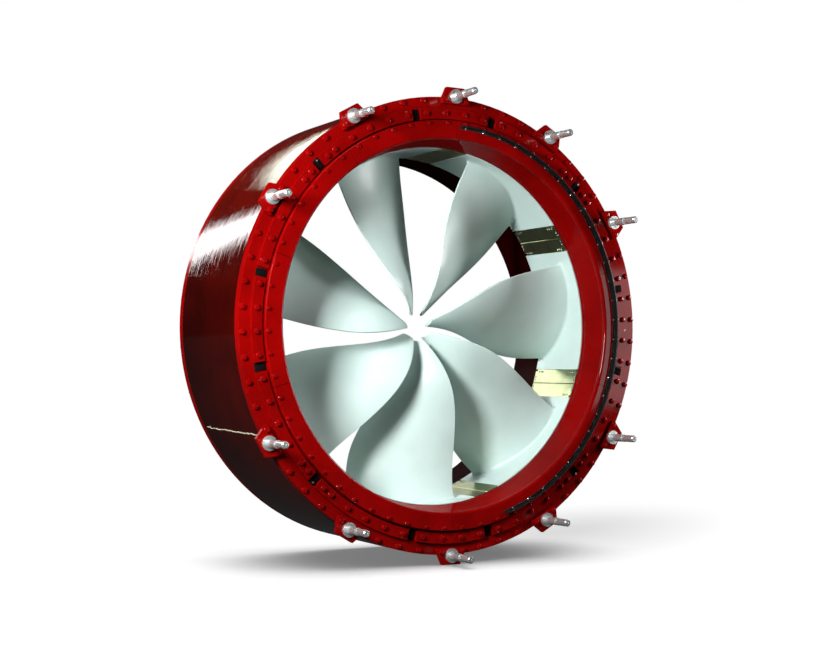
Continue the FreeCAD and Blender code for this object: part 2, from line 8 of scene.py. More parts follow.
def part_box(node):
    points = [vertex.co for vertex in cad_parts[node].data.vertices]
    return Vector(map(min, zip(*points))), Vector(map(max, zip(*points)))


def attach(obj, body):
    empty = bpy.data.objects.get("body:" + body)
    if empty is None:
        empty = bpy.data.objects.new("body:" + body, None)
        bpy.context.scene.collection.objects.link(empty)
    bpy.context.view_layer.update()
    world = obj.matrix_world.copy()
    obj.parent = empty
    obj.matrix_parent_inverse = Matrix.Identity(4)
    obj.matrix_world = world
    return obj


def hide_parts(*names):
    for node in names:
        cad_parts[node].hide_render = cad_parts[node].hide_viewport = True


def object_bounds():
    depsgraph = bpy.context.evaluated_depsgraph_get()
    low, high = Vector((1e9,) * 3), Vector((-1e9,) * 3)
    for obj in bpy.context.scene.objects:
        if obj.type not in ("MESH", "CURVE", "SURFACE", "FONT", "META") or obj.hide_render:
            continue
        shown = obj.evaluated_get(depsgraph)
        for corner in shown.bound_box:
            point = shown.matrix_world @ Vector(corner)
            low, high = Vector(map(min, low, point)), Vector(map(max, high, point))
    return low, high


# A rim driven thruster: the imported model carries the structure, and this script dresses it.
# The axis is Y, the front faces -Y, and angles run from +X towards +Z seen from the front.

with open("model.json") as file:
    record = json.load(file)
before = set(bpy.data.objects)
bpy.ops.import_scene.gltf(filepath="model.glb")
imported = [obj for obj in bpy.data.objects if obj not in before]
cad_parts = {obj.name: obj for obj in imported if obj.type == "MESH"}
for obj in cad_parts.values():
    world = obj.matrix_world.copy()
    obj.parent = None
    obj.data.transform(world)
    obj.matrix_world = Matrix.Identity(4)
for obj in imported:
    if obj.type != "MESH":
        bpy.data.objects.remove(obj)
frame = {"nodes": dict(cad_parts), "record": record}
nodes = frame["nodes"]
cadBox = [list(corner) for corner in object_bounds()]
print("frame loaded")

fullTurn = 360  # degrees


# small helpers

def deselect():
    bpy.ops.object.select_all(action="DESELECT")


# make one object the only selected and active one
def pick(piece):
    deselect()
    piece.select_set(True)
    bpy.context.view_layer.objects.active = piece


def applyModifiers(piece):
    pick(piece)
    for modifier in list(piece.modifiers):
        bpy.ops.object.modifier_apply(modifier=modifier.name)


def applyPlace(piece):
    pick(piece)
    bpy.ops.object.transform_apply(location=True, rotation=True, scale=True)


# turn from +X towards +Z, about the thruster's axis
def aboutAxis(angle):
    return Matrix.Rotation(math.radians(-angle), 4, "Y")


def turnPiece(piece, angle):
    piece.matrix_world = aboutAxis(angle) @ piece.matrix_world
    applyPlace(piece)


# a copy with its own mesh, moved by a matrix
def copyPiece(piece, place):
    pick(piece)
    bpy.ops.object.duplicate(linked=False)
    copy = bpy.context.active_object
    copy.matrix_world = place @ copy.matrix_world
    return copy


def joinPieces(pieces, name):
    deselect()
    for piece in pieces:
        piece.select_set(True)
    bpy.context.view_layer.objects.active = pieces[0]
    bpy.ops.object.join()
    joined = bpy.context.active_object
    joined.name = name
    applyPlace(joined)
    return joined


def smoothByAngle(piece, degrees=35):
    pick(piece)
    bpy.ops.object.shade_smooth_by_angle(angle=math.radians(degrees))


def bevelEdges(piece, width, segments=2, degrees=30):
    bevel = piece.modifiers.new("edges", "BEVEL")
    bevel.width = width
    bevel.segments = segments
    bevel.angle_limit = math.radians(degrees)
    applyModifiers(piece)


alongX = (0, math.pi / 2, 0)
againstX = (0, -math.pi / 2, 0)
alongY = (math.pi / 2, 0, 0)
hexSides = 6
socketDraft = 0.0002
facing = 0.99


def addBlock(centre, size):
    bpy.ops.mesh.primitive_cube_add(size=1, location=centre)
    block = bpy.context.active_object
    block.scale = size
    applyPlace(block)
    return block


def addRod(sides, radius, depth, centre, turn=alongY):
    bpy.ops.mesh.primitive_cylinder_add(vertices=sides, radius=radius, depth=depth, location=centre,
                                        rotation=turn)
    rod = bpy.context.active_object
    applyPlace(rod)
    return rod


def cutAway(piece, cutter):
    cut = piece.modifiers.new("cut", "BOOLEAN")
    cut.object = cutter
    cut.solver = "EXACT"
    applyModifiers(piece)
    bpy.data.objects.remove(cutter)


# go into edit mode with only the faces along a direction selected
def pickFaces(piece, direction):
    pick(piece)
    wanted = Vector(direction)
    for polygon in piece.data.polygons:
        polygon.select = polygon.normal.dot(wanted) > facing
    for edge in piece.data.edges:
        edge.select = False
    for vertex in piece.data.vertices:
        vertex.select = False
    for polygon in piece.data.polygons:
        if polygon.select:
            for index in polygon.vertices:
                piece.data.vertices[index].select = True
    bpy.ops.object.mode_set(mode="EDIT")
    bpy.ops.mesh.select_mode(type="FACE")


# a round recess in the faces along a direction
def sinkSocket(piece, direction, rim, depth):
    pickFaces(piece, direction)
    bpy.ops.mesh.inset(thickness=rim, depth=0)
    bpy.ops.mesh.inset(thickness=socketDraft, depth=-depth)
    bpy.ops.object.mode_set(mode="OBJECT")


def setMaterial(piece, material):
    piece.data.materials.clear()
    piece.data.materials.append(material)


# give a finished piece its finish, the body that it rides on and the nodes that it stands for
def dress(piece, material, body, slot, *replaced):
    setMaterial(piece, material)
    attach(piece, body)
    if replaced:
        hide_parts(*replaced)


# shared effects

def newGroup(name, inputs, outputs):
    group = bpy.data.node_groups.new(name, "ShaderNodeTree")
    for label, kind, default in inputs:
        socket = group.interface.new_socket(label, in_out="INPUT", socket_type=kind)
        socket.default_value = default
    for label, kind in outputs:
        group.interface.new_socket(label, in_out="OUTPUT", socket_type=kind)
    start = group.nodes.new("NodeGroupInput")
    end = group.nodes.new("NodeGroupOutput")
    return group, start, end


def addNode(tree, kind, **settings):
    node = tree.nodes.new(kind)
    for key, setting in settings.items():
        setattr(node, key, setting)
    return node


def addMath(tree, operation, first, second):
    node = addNode(tree, "ShaderNodeMath", operation=operation)
    for socket, source in zip(node.inputs, (first, second)):
        if isinstance(source, (int, float)):
            socket.default_value = source
        else:
            tree.links.new(source, socket)
    return node.outputs[0]


# noise whose scale may be a number or a socket
def addNoise(tree, vector, scale, detail=3.0, roughness=0.5):
    node = addNode(tree, "ShaderNodeTexNoise")
    node.inputs["Detail"].default_value = detail
    node.inputs["Roughness"].default_value = roughness
    tree.links.new(vector, node.inputs["Vector"])
    if isinstance(scale, (int, float)):
        node.inputs["Scale"].default_value = scale
    else:
        tree.links.new(scale, node.inputs["Scale"])
    return node.outputs["Fac"]


def addRange(tree, source, low, high, toLow, toHigh):
    node = addNode(tree, "ShaderNodeMapRange")
    tree.links.new(source, node.inputs["Value"])
    limits = {"From Min": low, "From Max": high, "To Min": toLow, "To Max": toHigh}
    for label, amount in limits.items():
        node.inputs[label].default_value = amount
    return node.outputs["Result"]


# colour mix whose colours may be sockets or tuples
def addMix(tree, factor, first, second):
    node = addNode(tree, "ShaderNodeMix", data_type="RGBA")
    tree.links.new(factor, node.inputs["Factor"])
    for socket, source in ((node.inputs[6], first), (node.inputs[7], second)):
        if isinstance(source, tuple):
            socket.default_value = source
        else:
            tree.links.new(source, socket)
    return node.outputs[2]


def addBump(tree, height, distance, normal=None):
    node = addNode(tree, "ShaderNodeBump")
    tree.links.new(height, node.inputs["Height"])
    node.inputs["Distance"].default_value = distance
    if normal is not None:
        tree.links.new(normal, node.inputs["Normal"])
    return node.outputs["Normal"]


def objectPoints(tree):
    return addNode(tree, "ShaderNodeTexCoord").outputs["Object"]


edgeWearAndHighlight = {"sharp": 0.75, "flat": 0.99, "patches": 38.0, "patchFrom": 0.4, "patchTo": 0.65}


# edges and corners found by comparing the rounded normal with the true one, broken into patches;
# the mask marks worn edges on metal and a painted highlight along painted and rubber edges
def makeWearAndHighlightGroup():
    spec = edgeWearAndHighlight
    group, start, end = newGroup(
        "edgeWearAndHighlight",
        [("Radius", "NodeSocketFloat", 0.002), ("Spread", "NodeSocketFloat", 0.5)],
        [("Mask", "NodeSocketFloat"), ("Normal", "NodeSocketVector")])
    bevel = addNode(group, "ShaderNodeBevel", samples=4)
    group.links.new(start.outputs["Radius"], bevel.inputs["Radius"])
    geometry = addNode(group, "ShaderNodeNewGeometry")
    product = addNode(group, "ShaderNodeVectorMath", operation="DOT_PRODUCT")
    group.links.new(bevel.outputs["Normal"], product.inputs[0])
    group.links.new(geometry.outputs["Normal"], product.inputs[1])
    edge = addRange(group, product.outputs["Value"], spec["sharp"], spec["flat"], 1.0, 0.0)
    patches = addNoise(group, objectPoints(group), spec["patches"], detail=4.0, roughness=0.6)
    broken = addRange(group, patches, spec["patchFrom"], spec["patchTo"], 0.0, 1.0)
    broken = addMath(group, "MULTIPLY", broken, start.outputs["Spread"])
    mask = addMath(group, "MULTIPLY", edge, broken)
    group.links.new(mask, end.inputs["Mask"])
    group.links.new(bevel.outputs["Normal"], end.inputs["Normal"])
    return group


# broad and fine variation of tone, as a value round one half
def makeMottleGroup():
    group, start, end = newGroup(
        "mottle",
        [("Broad", "NodeSocketFloat", 3.0), ("Fine", "NodeSocketFloat", 40.0)],
        [("Broad", "NodeSocketFloat"), ("Fine", "NodeSocketFloat")])
    points = objectPoints(group)
    broad = addNoise(group, points, start.outputs["Broad"], detail=4.0, roughness=0.55)
    fine = addNoise(group, points, start.outputs["Fine"], detail=3.0, roughness=0.6)
    group.links.new(broad, end.inputs["Broad"])
    group.links.new(fine, end.inputs["Fine"])
    return group


# fine lines left by a tool, drawn out along one direction
def makeBrushedGroup():
    group, start, end = newGroup(
        "toolLines",
        [("Stretch", "NodeSocketVector", (4.0, 900.0, 900.0))],
        [("Lines", "NodeSocketFloat")])
    scaled = addNode(group, "ShaderNodeVectorMath", operation="MULTIPLY")
    group.links.new(objectPoints(group), scaled.inputs[0])
    group.links.new(start.outputs["Stretch"], scaled.inputs[1])
    lines = addNoise(group, scaled.outputs["Vector"], 1.0, detail=2.0)
    group.links.new(lines, end.inputs["Lines"])
    return group


wearAndHighlightGroup = makeWearAndHighlightGroup()
mottleGroup = makeMottleGroup()
brushedGroup = makeBrushedGroup()


noiseSpan = (0.3, 0.7)  # where most of a noise value lies


def placeGroup(tree, group, **values):
    node = addNode(tree, "ShaderNodeGroup", node_tree=group)
    for label, amount in values.items():
        node.inputs[label].default_value = amount
    return node


def newMaterial(name):
    material = bpy.data.materials.new(name)
    material.use_nodes = True
    tree = material.node_tree
    shader = tree.nodes["Principled BSDF"]
    return material, tree, shader


def setShader(shader, **values):
    for label, amount in values.items():
        shader.inputs[label.replace("_", " ")].default_value = amount


# paint

paint = {
    # the lighter red given first below is a painted highlight along edges
    "paintedEdgeHighlight": (0.40, 0.010, 0.007, 1), "rough": 0.36, "roughSpread": 0.16, "edgeRadius": 0.0022,
    "wearAndHighlight": 0.7, "broad": 5.0, "fine": 46.0, "toneSpan": (0.25, 0.62), "roughSpan": (0.35, 0.7),
    "gloss": 0.0,
    "peelScale": 95.0, "peelDepth": 0.0004, "runScale": 11.0, "runDepth": 0.0016,
    "brush": (120.0, 5.0, 120.0), "brushDepth": 0.0012,
}
shellFinish = dict(paint, rough=0.035, roughSpread=0.03, gloss=0.3, peelDepth=0.00008,
                   runDepth=0.0004, brush=(5.0, 150.0, 5.0), brushDepth=0.00026)


# gloss paint with broad tones, orange peel, brush marks and soft runs, and a painted highlight, a
# lighter red, along its edges
def makePaint(name, lit, deep, coat, coatRough, softEdges=True, finish=paint):
    material, tree, shader = newMaterial(name)
    wearAndHighlight = placeGroup(tree, wearAndHighlightGroup, Radius=finish["edgeRadius"], Spread=finish["wearAndHighlight"])
    mottle = placeGroup(tree, mottleGroup, Broad=finish["broad"], Fine=finish["fine"])
    tone = addRange(tree, mottle.outputs["Broad"], *finish["toneSpan"], 0.0, 1.0)
    colour = addMix(tree, tone, deep, lit)
    # painted highlight: the edges turn a lighter red
    colour = addMix(tree, wearAndHighlight.outputs["Mask"], colour, finish["paintedEdgeHighlight"])
    tree.links.new(colour, shader.inputs["Base Color"])
    roughest = finish["rough"] + finish["roughSpread"]
    rough = addRange(tree, mottle.outputs["Fine"], *finish["roughSpan"], finish["rough"], roughest)
    tree.links.new(rough, shader.inputs["Roughness"])
    points = objectPoints(tree)
    under = wearAndHighlight.outputs["Normal"] if softEdges else None
    skin = addNoise(tree, points, finish["peelScale"], detail=2.0)
    peel = addBump(tree, skin, finish["peelDepth"], under)
    brushed = addNode(tree, "ShaderNodeVectorMath", operation="MULTIPLY")
    tree.links.new(points, brushed.inputs[0])
    brushed.inputs[1].default_value = finish["brush"]
    strokes = addNoise(tree, brushed.outputs["Vector"], 1.0)
    marks = addBump(tree, strokes, finish["brushDepth"], peel)
    sag = addNoise(tree, points, finish["runScale"], detail=2.0)
    runs = addBump(tree, sag, finish["runDepth"], marks)
    tree.links.new(runs, shader.inputs["Normal"])
    setShader(shader, Coat_Weight=coat, Coat_Roughness=coatRough,
              Specular_IOR_Level=finish["gloss"])
    return material


# blades

composite = {
    "light": (0.62, 0.77, 0.735, 1), "shade": (0.56, 0.71, 0.67, 1), "rough": 0.34,
    "smoother": 0.05, "rougher": 0.08, "broad": 6.0, "fine": 30.0, "grainScale": 220.0,
    "grainDepth": 0.00005, "coat": 0.12, "coatRough": 0.3, "gloss": 0.3,
}


def makeComposite():
    material, tree, shader = newMaterial("paleComposite")
    mottle = placeGroup(tree, mottleGroup, Broad=composite["broad"], Fine=composite["fine"])
    tone = addRange(tree, mottle.outputs["Broad"], *noiseSpan, 0.0, 1.0)
    colour = addMix(tree, tone, composite["shade"], composite["light"])
    tree.links.new(colour, shader.inputs["Base Color"])
    rough = addRange(tree, mottle.outputs["Fine"], *noiseSpan,
                     composite["rough"] - composite["smoother"],
                     composite["rough"] + composite["rougher"])
    tree.links.new(rough, shader.inputs["Roughness"])
    grain = addNoise(tree, objectPoints(tree), composite["grainScale"])
    tree.links.new(addBump(tree, grain, composite["grainDepth"]), shader.inputs["Normal"])
    setShader(shader, Coat_Weight=composite["coat"], Coat_Roughness=composite["coatRough"],
              Specular_IOR_Level=composite["gloss"])
    return material


# bare metals

metal = {"edgeRadius": 0.0008, "broad": 22.0, "fine": 140.0, "stainSpan": (0.42, 0.68),
         "smoother": 0.03, "rougher": 0.06}


# machined metal with tool lines, tarnish patches and softened edges
def makeMetal(name, light, dark, rough, stretch, depth, stain=0.5, drawn=0.35, metallic=1.0,
              softEdges=True, uneven=1.0):
    material, tree, shader = newMaterial(name)
    wearAndHighlight = placeGroup(tree, wearAndHighlightGroup, Radius=metal["edgeRadius"], Spread=1.0)
    mottle = placeGroup(tree, mottleGroup, Broad=metal["broad"], Fine=metal["fine"])
    lines = placeGroup(tree, brushedGroup, Stretch=stretch)
    patches = addRange(tree, mottle.outputs["Broad"], *metal["stainSpan"], 0.0, stain)
    colour = addMix(tree, patches, light, dark)
    drawnLines = addMath(tree, "MULTIPLY", lines.outputs["Lines"], drawn)
    colour = addMix(tree, drawnLines, colour, dark)
    colour = addMix(tree, wearAndHighlight.outputs["Mask"], colour, light)
    tree.links.new(colour, shader.inputs["Base Color"])
    spread = addRange(tree, mottle.outputs["Fine"], *noiseSpan, rough - metal["smoother"] * uneven,
                      rough + metal["rougher"] * uneven)
    tree.links.new(spread, shader.inputs["Roughness"])
    under = wearAndHighlight.outputs["Normal"] if softEdges else None
    tree.links.new(addBump(tree, lines.outputs["Lines"], depth, under), shader.inputs["Normal"])
    setShader(shader, Metallic=metallic)
    return material


rubber = {
    "deep": (0.002, 0.0025, 0.0025, 1), "pale": (0.009, 0.010, 0.010, 1),
    "paintedRimHighlight": (0.20, 0.25, 0.25, 1),
    "edgeRadius": 0.0016, "broad": 30.0, "fine": 220.0, "smooth": 0.26, "rough": 0.42,
    "grainDepth": 0.0002, "gloss": 0.25,
}


# black rubber with a painted highlight, a pale grey-green, along its edges
def makeRubber():
    material, tree, shader = newMaterial("blackRubber")
    wearAndHighlight = placeGroup(tree, wearAndHighlightGroup, Radius=rubber["edgeRadius"], Spread=1.0)
    mottle = placeGroup(tree, mottleGroup, Broad=rubber["broad"], Fine=rubber["fine"])
    colour = addMix(tree, mottle.outputs["Broad"], rubber["deep"], rubber["pale"])
    # painted highlight: the edges turn a pale grey-green
    colour = addMix(tree, wearAndHighlight.outputs["Mask"], colour, rubber["paintedRimHighlight"])
    tree.links.new(colour, shader.inputs["Base Color"])
    rough = addRange(tree, mottle.outputs["Fine"], *noiseSpan, rubber["smooth"], rubber["rough"])
    tree.links.new(rough, shader.inputs["Roughness"])
    grain = addBump(tree, mottle.outputs["Fine"], rubber["grainDepth"])
    tree.links.new(grain, shader.inputs["Normal"])
    setShader(shader, Specular_IOR_Level=rubber["gloss"])
    return material


plastic = {"broad": 14.0, "fine": 120.0, "smoother": 0.08, "rougher": 0.1, "grainDepth": 0.0001}


# dull moulded or filled surface
def makePlastic(name, light, dark, rough, gloss=0.5):
    material, tree, shader = newMaterial(name)
    mottle = placeGroup(tree, mottleGroup, Broad=plastic["broad"], Fine=plastic["fine"])
    tree.links.new(addMix(tree, mottle.outputs["Broad"], dark, light), shader.inputs["Base Color"])
    spread = addRange(tree, mottle.outputs["Fine"], *noiseSpan, rough - plastic["smoother"],
                      rough + plastic["rougher"])
    tree.links.new(spread, shader.inputs["Roughness"])
    grain = addBump(tree, mottle.outputs["Fine"], plastic["grainDepth"])
    tree.links.new(grain, shader.inputs["Normal"])
    setShader(shader, Specular_IOR_Level=gloss)
    return material


redPaint = makePaint("redGlossPaint", (0.25, 0.0010, 0.0010, 1), (0.15, 0.0006, 0.0006, 1),
                     0.4, 0.08)
# darker copy of the red paint for the shell: painted shade
shellShadePaint = makePaint("redShellShadedPaint", (0.10, 0.0025, 0.0004, 1), (0.050, 0.0008, 0.0002, 1),
                       0.1, 0.05, softEdges=False, finish=shellFinish)
borePaint = makePaint("redBorePaint", (0.22, 0.0008, 0.0008, 1), (0.14, 0.0004, 0.0004, 1),
                      0.2, 0.1)
# near-black copy of the red paint for the rear nozzle: painted shade
rearShadePaint = makePaint("redRearShadedPaint", (0.020, 0.0004, 0.0004, 1), (0.010, 0.0002, 0.0002, 1),
                      0.05, 0.3)
paleComposite = makeComposite()
bronze = makeMetal("machinedBronze", (0.62, 0.68, 0.40, 1), (0.28, 0.32, 0.15, 1), 0.3,
                   (500.0, 3.0, 500.0), 0.00001, stain=0.35, drawn=0.5, softEdges=False, uneven=0.5)
turnedSteel = makeMetal("turnedSteel", (0.88, 0.92, 0.91, 1), (0.60, 0.65, 0.65, 1), 0.22,
                        (6.0, 260.0, 6.0), 0.000001, stain=0.06, drawn=0.12, metallic=0.84,
                        softEdges=False, uneven=0.15)
coreSteel = makeMetal("coreSteel", (0.42, 0.43, 0.44, 1), (0.16, 0.16, 0.17, 1), 0.42,
                      (8.0, 1200.0, 8.0), 0.00001)
magnetAlloy = makeMetal("magnetAlloy", (0.52, 0.52, 0.53, 1), (0.24, 0.24, 0.25, 1), 0.35,
                        (40.0, 40.0, 40.0), 0.00001)
copper = makeMetal("windingCopper", (0.72, 0.33, 0.16, 1), (0.30, 0.12, 0.05, 1), 0.36,
                   (60.0, 500.0, 60.0), 0.00004)
blackRubber = makeRubber()
sleeveLaminate = makePlastic("sleeveLaminate", (0.05, 0.055, 0.05, 1), (0.02, 0.022, 0.02, 1), 0.4)
# near-black matte surface for the plates in the clamp gaps, painted shade
gapShadeBlack = makePlastic("gapShadeBlack", (0.006, 0.005, 0.005, 1), (0.002, 0.002, 0.002, 1), 0.85, 0.05)
sealant = makePlastic("paleSealant", (0.62, 0.58, 0.42, 1), (0.42, 0.38, 0.26, 1), 0.4)
bearingPolymer = makePlastic("bearingPolymer", (0.09, 0.085, 0.075, 1), (0.04, 0.038, 0.034, 1),
                             0.45)
print("materials ready")

finishes = {
    "red_paint": redPaint, "blade_composite": paleComposite, "bronze": bronze,
    "stud_steel": turnedSteel, "black_rubber": blackRubber, "core_steel": coreSteel,
    "copper": copper, "sleeve_composite": sleeveLaminate, "magnet_alloy": magnetAlloy,
    "bearing_polymer": bearingPolymer,
}
for entry in frame["record"]["subparts"]:
    setMaterial(nodes[entry["node"]], finishes[entry["material_slot"]])
# the shell and the rear nozzle take darker copies of the red paint, painted shade
setMaterial(nodes["housing_shell"], shellShadePaint)
setMaterial(nodes["front_nozzle"], borePaint)
setMaterial(nodes["rear_nozzle"], rearShadePaint)
deselect()
print("frame nodes dressed")


# hexagon bolts, painted over with the flanges

boltRows = {
    "flangeBolts": {"node": "flange_bolts", "radius": 0.9295, "flats": 0.0200, "head": 0.0074},
    "clampBolts": {"node": "clamp_bolts", "radius": 0.8746, "flats": 0.0200, "head": 0.0074},
    "lipBolts": {"node": "lip_bolts", "radius": 0.8325, "flats": 0.0146, "head": 0.0052},
    "rearCoverBolts": {"node": "rear_cover_bolts", "radius": 0.9295, "flats": 0.0200,
                       "head": 0.0074},
}
boltShape = {"washerWide": 1.22, "washerThick": 0.0015, "washerSides": 20, "round": 0.0016,
             "spinSeed": 5}
boltCount = 60
lugReach = 4.0  # degrees each side of a stud
gapBolt = {"near": 2.0, "aside": 3.2}
faceDepth = {"lug": 0.009, "flange": 0.028, "clamp": 0.014, "lip": 0.0, "rear": 0.673}
studAngles = [angle for angle in range(0, fullTurn, 30) if angle % 180 != 0]
clampGapCentres = [quarter + side for quarter in (0, 90, 180, 270) for side in (-12, 12, 45)]


def hexCorner(flats):
    return flats / 2 / math.cos(math.pi / hexSides)


# one head on its washer, standing on the origin and facing the front
def modelHexBolt(row):
    thick = boltShape["washerThick"]
    head = addRod(hexSides, hexCorner(row["flats"]), row["head"],
                  (0, -thick - row["head"] / 2, 0))
    bevelEdges(head, boltShape["round"], 2)
    washer = addRod(boltShape["washerSides"], row["flats"] / 2 * boltShape["washerWide"], thick,
                    (0, -thick / 2, 0))
    bevelEdges(washer, thick / 3, 1)
    bolt = joinPieces([head, washer], "bolt")
    smoothByAngle(bolt)
    return bolt


# copies of a model at (angle, radius, depth, spin, backwards), joined into one piece
def placeRound(model, name, places):
    copies = []
    for angle, radius, depth, spin, backwards in places:
        place = aboutAxis(angle) @ Matrix.Translation((radius, depth, 0))
        if backwards:
            place = place @ Matrix.Rotation(math.pi, 4, "Z")
        copies.append(copyPiece(model, place @ Matrix.Rotation(spin, 4, "Y")))
    bpy.data.objects.remove(model)
    return joinPieces(copies, name)


# an angle between -180 and 180 degrees
def wrapped(angle):
    return (angle + fullTurn / 2) % fullTurn - fullTurn / 2


# bolts at a gap stand in pairs, one each side of it
def clampBoltAngles(even):
    angles = []
    for angle in even:
        gaps = [gap for gap in clampGapCentres if abs(wrapped(angle - gap)) < gapBolt["near"]]
        angles += [gaps[0] - gapBolt["aside"], gaps[0] + gapBolt["aside"]] if gaps else [angle]
    return angles


def makeBolts():
    spins = random.Random(boltShape["spinSeed"])
    pitch = fullTurn / boltCount
    even = [(index + 0.5) * pitch for index in range(boltCount)]
    onLug = {angle for angle in even
             if any(abs(wrapped(angle - stud)) < lugReach for stud in studAngles)}
    rear = [(index + 0.5) * pitch * 2 for index in range(boltCount // 2)]
    seats = {
        "flangeBolts": [(angle, faceDepth["lug" if angle in onLug else "flange"])
                        for angle in even],
        "clampBolts": [(angle, faceDepth["clamp"]) for angle in clampBoltAngles(even)],
        "lipBolts": [(angle, faceDepth["lip"]) for angle in even],
        "rearCoverBolts": [(angle, faceDepth["rear"]) for angle in rear],
    }
    for name, row in boltRows.items():
        places = [(angle, row["radius"], depth, spins.uniform(0, math.pi), name == "rearCoverBolts")
                  for angle, depth in seats[name]]
        piece = placeRound(modelHexBolt(row), name, places)
        dress(piece, redPaint, "housing", "red_paint", row["node"])


makeBolts()
print("bolts placed")


# black strip on the inlet lip, with its screws

sealStrip = {
    "inner": 0.818, "outer": 0.8227, "top": -0.025, "footInner": 0.810, "footTop": -0.002,
    "start": -72.2, "sweep": 161.0, "steps": 150, "round": 0.0013, "overlap": 0.0002,
}
stripScrew = {"radius": 0.8142, "head": 0.0036, "rise": 0.0022, "slotLong": 2.4, "slotWide": 0.3,
              "first": -69, "pitch": 6, "count": 27, "sides": 14, "rings": 8, "sharp": 40,
              "spinSeed": 11}


# solid made by turning a rectangular section about the axis
def spinSection(name, inner, outer, front, back, start, sweep, steps):
    bpy.ops.mesh.primitive_plane_add(size=1, location=((inner + outer) / 2, (front + back) / 2, 0))
    piece = bpy.context.active_object
    piece.name = name
    piece.scale = (outer - inner, back - front, 1)
    applyPlace(piece)
    bpy.ops.object.mode_set(mode="EDIT")
    bpy.ops.mesh.select_all(action="SELECT")
    bpy.ops.mesh.spin(steps=steps, angle=math.radians(sweep), center=(0, 0, 0), axis=(0, 1, 0))
    bpy.ops.mesh.select_all(action="SELECT")
    bpy.ops.mesh.remove_doubles(threshold=1e-6)
    bpy.ops.mesh.normals_make_consistent(inside=False)
    bpy.ops.object.mode_set(mode="OBJECT")
    turnPiece(piece, start)
    return piece


def makeSealStrip():
    spec = sealStrip
    fence = spinSection("fence", spec["inner"], spec["outer"], spec["top"], 0.0,
                        spec["start"], spec["sweep"], spec["steps"])
    bevelEdges(fence, spec["round"], 3)
    foot = spinSection("foot", spec["footInner"], spec["inner"] + spec["overlap"],
                       spec["footTop"], 0.0, spec["start"], spec["sweep"], spec["steps"])
    bevelEdges(foot, spec["round"] / 2, 2)
    strip = joinPieces([fence, foot], "sealStrip")
    smoothByAngle(strip)
    dress(strip, blackRubber, "housing", "black_rubber", "seal_strip")


# pan heads with a slot, in the foot of the strip
def makeStripScrews():
    spec = stripScrew
    bpy.ops.mesh.primitive_uv_sphere_add(segments=spec["sides"], ring_count=spec["rings"],
                                         radius=spec["head"])
    head = bpy.context.active_object
    head.scale = (1, spec["rise"] / spec["head"], 1)
    head.location = (0, sealStrip["footTop"], 0)
    applyPlace(head)
    slotSize = (spec["head"] * spec["slotLong"], spec["rise"], spec["head"] * spec["slotWide"])
    slot = addBlock((0, sealStrip["footTop"] - spec["rise"], 0), slotSize)
    cutAway(head, slot)
    smoothByAngle(head, spec["sharp"])
    spins = random.Random(spec["spinSeed"])
    places = [(spec["first"] + index * spec["pitch"], spec["radius"], 0.0,
               spins.uniform(0, math.pi), False) for index in range(spec["count"])]
    screws = placeRound(head, "stripScrews", places)
    dress(screws, turnedSteel, "housing", "stud_steel")


makeSealStrip()
makeStripScrews()
print("seal strip placed")


# bronze strips that clamp the blade feet, with their screws

clampStrip = {
    "face": 0.7465, "back": 0.7671, "width": 0.0642, "front": 0.1445, "rear": 0.4635,
    "edge": 0.0009, "notchLong": 0.013, "notchWide": 0.009, "notchDeep": 0.1,
    "half": 2.535, "first": 84.214, "count": 7,
}
stripHole = {"sides": 20, "radius": 0.0052, "depth": 0.004, "fromEdge": 0.0125, "fromEnd": 0.026,
             "pitch": 0.0145, "inRow": 3, "endFrom": 0.0085, "endAcross": (-0.018, -0.003)}
stripHead = {"sides": 18, "wide": 0.78, "sunk": 0.65, "rim": 0.38, "socket": 0.0018,
             "edge": 0.0004, "sharp": 50}


# places of the screw holes as (depth, across), across being positive towards the outer edge
def stripHoles():
    spec = clampStrip
    row = spec["width"] / 2 - stripHole["fromEdge"]
    holes = []
    for end, inwards in ((spec["front"], 1), (spec["rear"], -1)):
        for index in range(stripHole["inRow"]):
            reach = stripHole["fromEnd"] + index * stripHole["pitch"]
            holes.append((end + inwards * reach, row))
        for across in stripHole["endAcross"]:
            holes.append((end + inwards * stripHole["endFrom"], across))
    return holes


# flat bar with notched outer corners and counterbored screw holes
def modelClampStrip():
    spec = clampStrip
    bar = addBlock(((spec["face"] + spec["back"]) / 2, (spec["front"] + spec["rear"]) / 2, 0),
                   (spec["back"] - spec["face"], spec["rear"] - spec["front"], spec["width"]))
    tools = [addBlock((spec["face"], end, spec["width"] / 2),
                      (spec["notchDeep"], spec["notchLong"] * 2, spec["notchWide"] * 2))
             for end in (spec["front"], spec["rear"])]
    tools += [addRod(stripHole["sides"], stripHole["radius"], stripHole["depth"] * 2,
                     (spec["face"], depth, across), alongX) for depth, across in stripHoles()]
    cutAway(bar, joinPieces(tools, "stripCutter"))
    bevelEdges(bar, spec["edge"], 1)
    smoothByAngle(bar)
    return bar


# socket heads that sit in the counterbores
def modelStripScrews():
    sunk = clampStrip["face"] + stripHole["depth"] * stripHead["sunk"]
    heads = []
    for depth, across in stripHoles():
        head = addRod(stripHead["sides"], stripHole["radius"] * stripHead["wide"],
                      stripHole["depth"], (sunk, depth, across), againstX)
        sinkSocket(head, (-1, 0, 0), stripHole["radius"] * stripHead["rim"], stripHead["socket"])
        heads.append(head)
    screws = joinPieces(heads, "stripScrewHeads")
    bevelEdges(screws, stripHead["edge"], 1, stripHead["sharp"])
    smoothByAngle(screws)
    return screws


